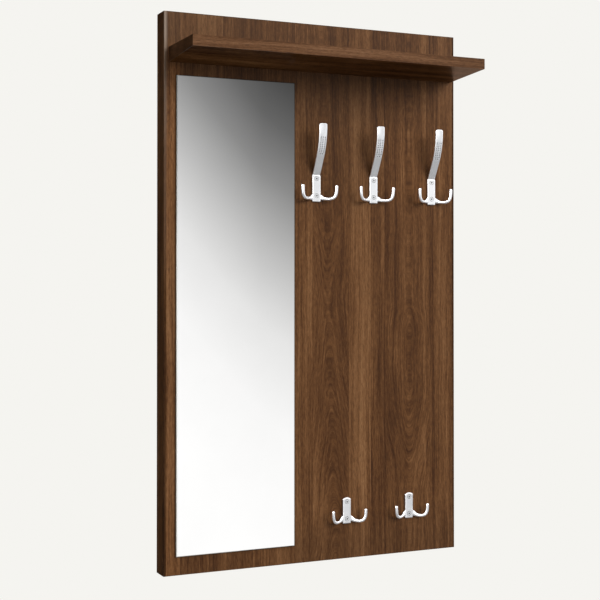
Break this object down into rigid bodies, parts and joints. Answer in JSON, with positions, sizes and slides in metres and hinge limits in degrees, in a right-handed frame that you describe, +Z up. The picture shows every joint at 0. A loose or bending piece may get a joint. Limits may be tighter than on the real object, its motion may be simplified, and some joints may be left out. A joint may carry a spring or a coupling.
{
  "type": "mirror with hooks",
  "caption": "Wall-hung hallway panel in dark wood with a tall mirror, a hat shelf across the top, tall coat hooks beside the mirror and short bag hooks below them.",
  "frame": {"origin": "on the wall plane, midway between the centres of the two keyhole entries that the panel hangs from", "axes": "+Z up, +Y into the wall, +X to the right when facing the panel; the panel's front faces -Y"},
  "size_m": [0.597, 0.1635, 1],
  "materials": {
    "walnut_board": "satin",
    "walnut_edge": "satin",
    "core_board": "matte",
    "mirror_glass": "polished",
    "mirror_film": "matte",
    "mounting_tape": "matte",
    "beech": "matte",
    "cast_aluminium": "satin",
    "screw_steel": "satin",
    "zinc_steel": "satin"
  },
  "bodies": {
    "root": {"front_board": "walnut_board", "left_stile": "core_board", "right_stile": "core_board", "top_rail": "core_board", "bottom_rail": "core_board", "left_lipping": "walnut_edge", "right_lipping": "walnut_edge", "top_band": "walnut_edge", "bottom_band": "walnut_edge", "mirror_glass": "mirror_glass", "mirror_film": "mirror_film", "mirror_tape": "mounting_tape", "shelf_board": "walnut_board", "shelf_front_band": "walnut_edge", "shelf_left_band": "walnut_edge", "shelf_right_band": "walnut_edge", "shelf_dowels": "beech", "shelf_screws": "zinc_steel", "upper_hook_left": "cast_aluminium", "upper_hook_centre": "cast_aluminium", "upper_hook_right": "cast_aluminium", "lower_hook_left": "cast_aluminium", "lower_hook_right": "cast_aluminium", "upper_hook_screws": "screw_steel", "lower_hook_screws": "screw_steel", "left_hanger": "zinc_steel", "right_hanger": "zinc_steel", "hanger_screws": "zinc_steel"}
  },
  "joints": []
}
